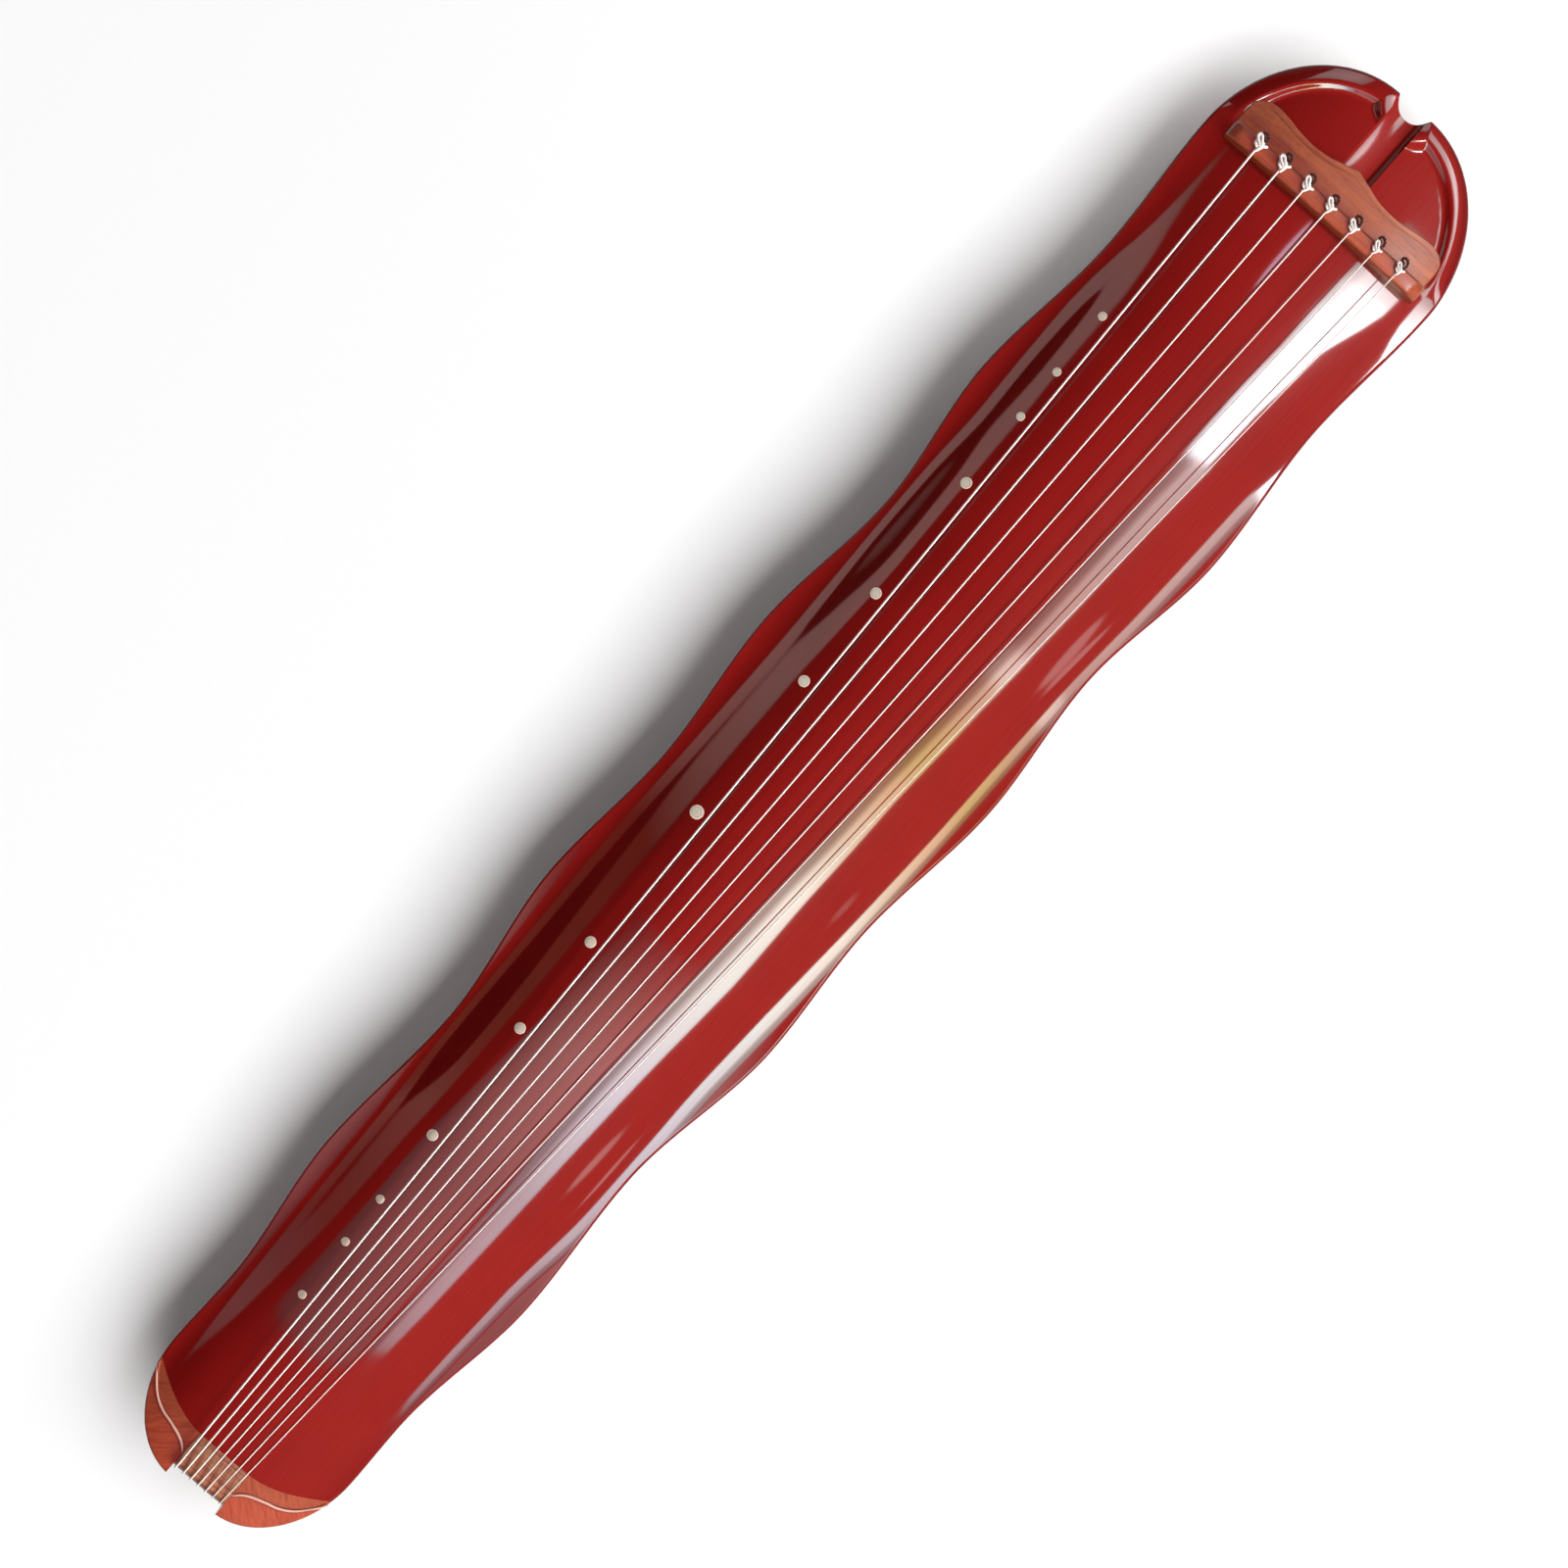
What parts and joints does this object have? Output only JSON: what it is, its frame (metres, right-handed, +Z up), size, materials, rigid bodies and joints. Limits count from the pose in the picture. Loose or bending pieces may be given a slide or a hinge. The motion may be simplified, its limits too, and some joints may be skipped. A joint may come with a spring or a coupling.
{
  "type": "guqin",
  "caption": "Long wavy-sided arched zither in red lacquer: hardwood bridge, nut and crown corners, shell studs, strings over the top and round the feet, turning pegs.",
  "frame": {"origin": "middle of the overall box in plan, on the surface that the feet and the peg guards stand on", "axes": "+X along the strings from the tail to the head, +Y towards the studs and the first string, +Z up"},
  "size_m": [1.2293, 0.2018, 0.0938],
  "materials": {
    "lacquer_red": "high-gloss red lacquer over wood",
    "rosewood": "oiled and polished",
    "shell": "polished shell",
    "string_white": "wound and satin",
    "silk_dark": "twisted silk",
    "fir": "planed, bare"
  },
  "bodies": {
    "instrument": {"soundboard": "lacquer_red", "bottom_board": "lacquer_red", "bridge": "rosewood", "string_hole_plate": "rosewood", "nut": "rosewood", "crown_corner_far": "rosewood", "crown_corner_near": "rosewood", "tail_support": "rosewood", "stud_1": "shell", "stud_2": "shell", "stud_3": "shell", "stud_4": "shell", "stud_5": "shell", "stud_6": "shell", "stud_7": "shell", "stud_8": "shell", "stud_9": "shell", "stud_10": "shell", "stud_11": "shell", "stud_12": "shell", "stud_13": "shell", "string_1": "string_white", "string_2": "string_white", "string_3": "string_white", "string_4": "string_white", "string_5": "string_white", "string_6": "string_white", "string_7": "string_white", "silk_loop_1": "silk_dark", "silk_loop_2": "silk_dark", "silk_loop_3": "silk_dark", "silk_loop_4": "silk_dark", "silk_loop_5": "silk_dark", "silk_loop_6": "silk_dark", "silk_loop_7": "silk_dark", "peg_plate": "rosewood", "peg_guard_far": "rosewood", "peg_guard_near": "rosewood", "goose_foot_far": "rosewood", "goose_foot_near": "rosewood", "foot_block_far": "fir", "foot_block_near": "fir", "sound_post_round": "fir", "sound_post_square": "fir"},
    "tuning_peg_1": {"tuning_peg_1": "rosewood"},
    "tuning_peg_2": {"tuning_peg_2": "rosewood"},
    "tuning_peg_3": {"tuning_peg_3": "rosewood"},
    "tuning_peg_4": {"tuning_peg_4": "rosewood"},
    "tuning_peg_5": {"tuning_peg_5": "rosewood"},
    "tuning_peg_6": {"tuning_peg_6": "rosewood"},
    "tuning_peg_7": {"tuning_peg_7": "rosewood"}
  },
  "joints": [
    {"name": "tuning_peg_1_turn", "type": "hinge", "parent": "instrument", "child": "tuning_peg_1", "pos_m": [0.53255, 0.0606, 0.03], "axis": [0, 0, 1], "continuous": true},
    {"name": "tuning_peg_2_turn", "type": "hinge", "parent": "instrument", "child": "tuning_peg_2", "pos_m": [0.53255, 0.0404, 0.03], "axis": [0, 0, 1], "continuous": true},
    {"name": "tuning_peg_3_turn", "type": "hinge", "parent": "instrument", "child": "tuning_peg_3", "pos_m": [0.53255, 0.0202, 0.03], "axis": [0, 0, 1], "continuous": true},
    {"name": "tuning_peg_4_turn", "type": "hinge", "parent": "instrument", "child": "tuning_peg_4", "pos_m": [0.53255, 0, 0.03], "axis": [0, 0, 1], "continuous": true},
    {"name": "tuning_peg_5_turn", "type": "hinge", "parent": "instrument", "child": "tuning_peg_5", "pos_m": [0.53255, -0.0202, 0.03], "axis": [0, 0, 1], "continuous": true},
    {"name": "tuning_peg_6_turn", "type": "hinge", "parent": "instrument", "child": "tuning_peg_6", "pos_m": [0.53255, -0.0404, 0.03], "axis": [0, 0, 1], "continuous": true},
    {"name": "tuning_peg_7_turn", "type": "hinge", "parent": "instrument", "child": "tuning_peg_7", "pos_m": [0.53255, -0.0606, 0.03], "axis": [0, 0, 1], "continuous": true}
  ]
}
